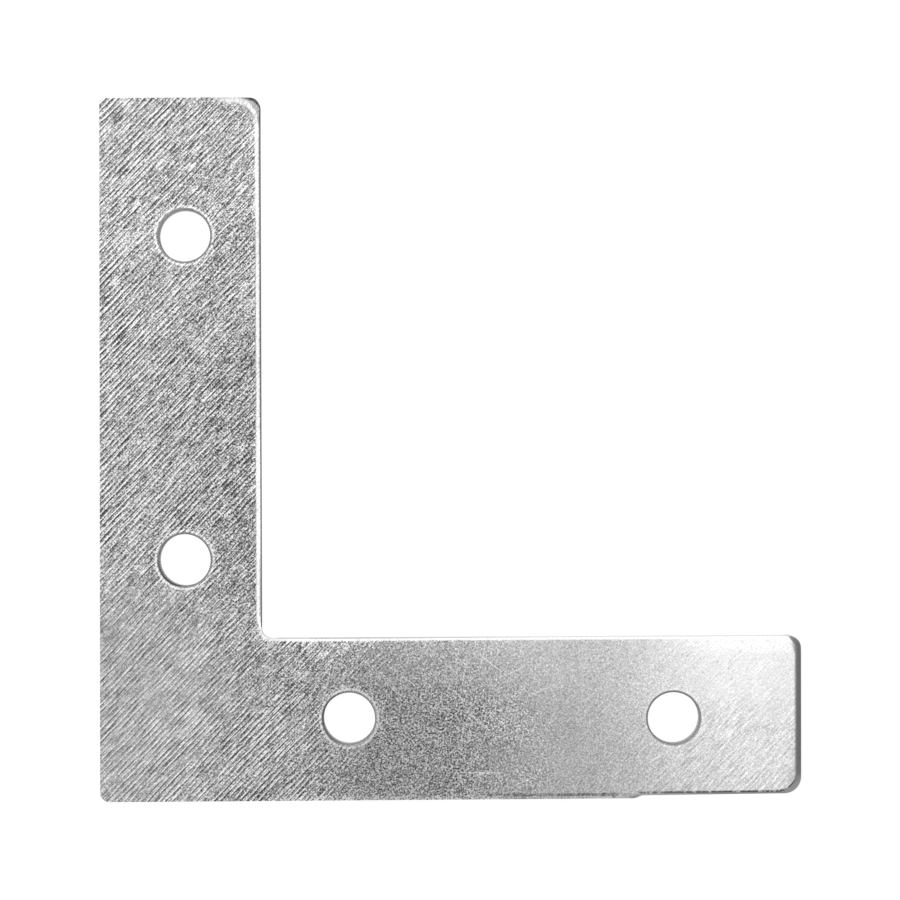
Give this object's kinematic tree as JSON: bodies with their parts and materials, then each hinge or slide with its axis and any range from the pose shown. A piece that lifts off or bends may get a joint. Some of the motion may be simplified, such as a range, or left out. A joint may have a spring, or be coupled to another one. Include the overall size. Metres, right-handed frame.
{
  "type": "flat corner plate",
  "caption": "Flat L-shaped corner plate punched from sheet metal in one piece, with plain screw holes along both arms, that joins or guards the square corner of a frame.",
  "frame": {"origin": "where the two lines of screw holes cross, on the back face", "axes": "+Z out of the front face, +X and +Y along the two arms, away from the corner"},
  "size_m": [0.0697, 0.0702, 0.002],
  "materials": {
    "plate": "bare mill finish with fine diagonal streaks and rolled punched edges"
  },
  "bodies": {
    "root": {"corner_plate": "plate"}
  },
  "joints": []
}
